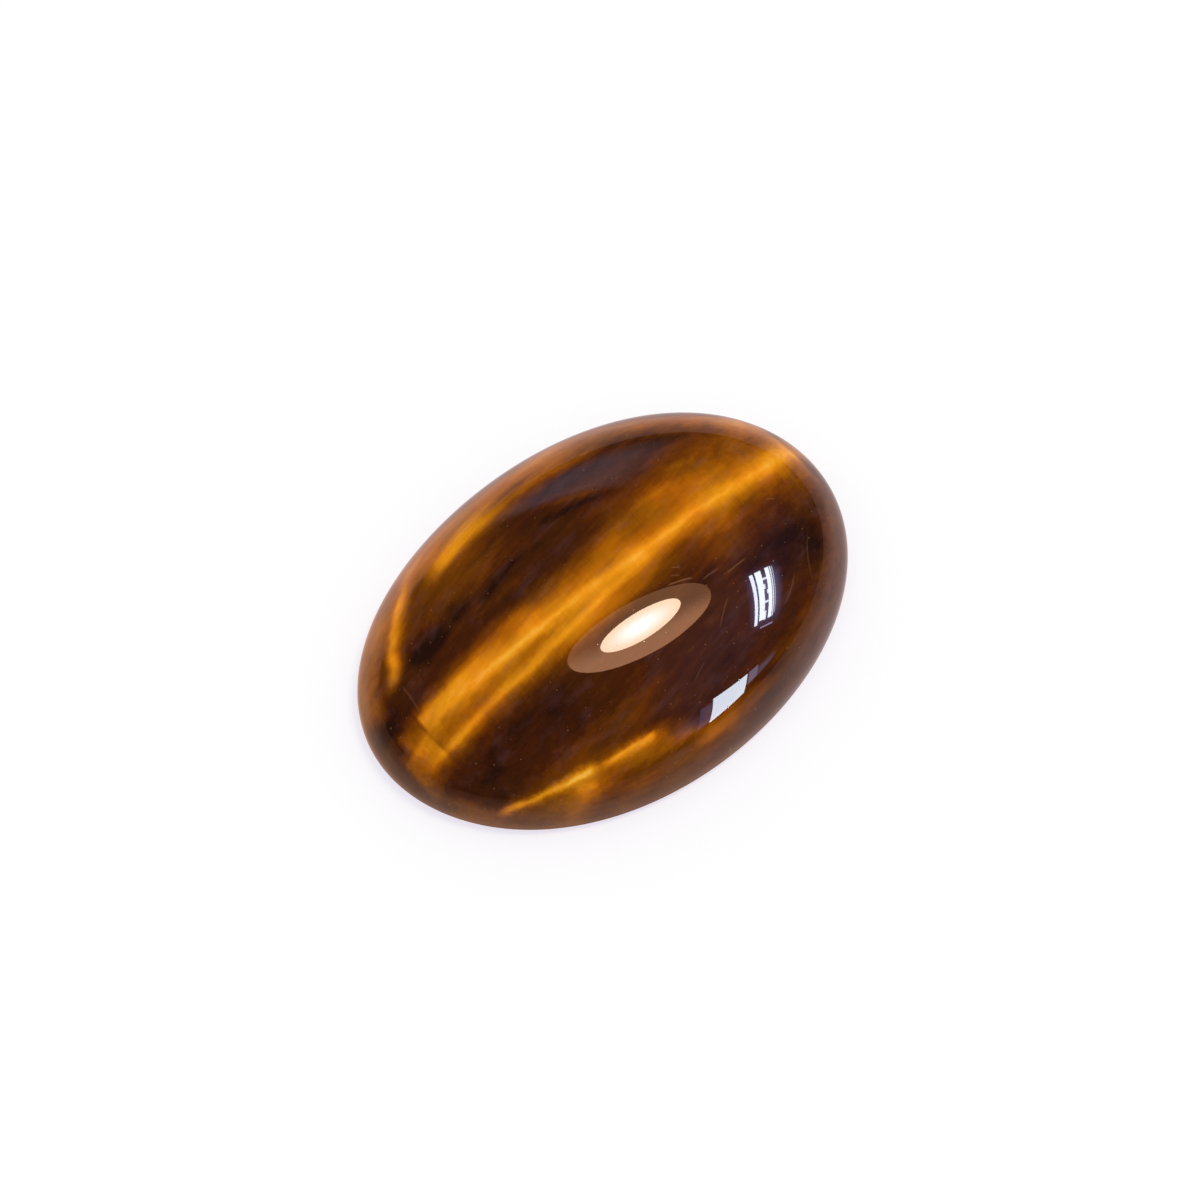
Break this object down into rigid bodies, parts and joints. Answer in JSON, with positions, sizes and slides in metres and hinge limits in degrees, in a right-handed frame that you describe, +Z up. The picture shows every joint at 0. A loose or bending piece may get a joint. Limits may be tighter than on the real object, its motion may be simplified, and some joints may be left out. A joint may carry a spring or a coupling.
{
  "type": "tigers eye cabochon",
  "caption": "Polished oval tiger's eye cabochon with a domed top, narrow girdle, small bevel and flat ground back, golden chatoyant streaks over dark brown.",
  "frame": {"origin": "middle of the flat back, on the surface that the stone lies on", "axes": "+Z up through the top of the dome, +X along the oval's long axis, +Y along its short axis"},
  "size_m": [0.0258, 0.018, 0.0064],
  "materials": {
    "tigers_eye": "high polish on the dome, fine ground back, silky golden chatoyant bands over dark brown"
  },
  "bodies": {
    "root": {"tigers_eye_cabochon": "tigers_eye"}
  },
  "joints": []
}
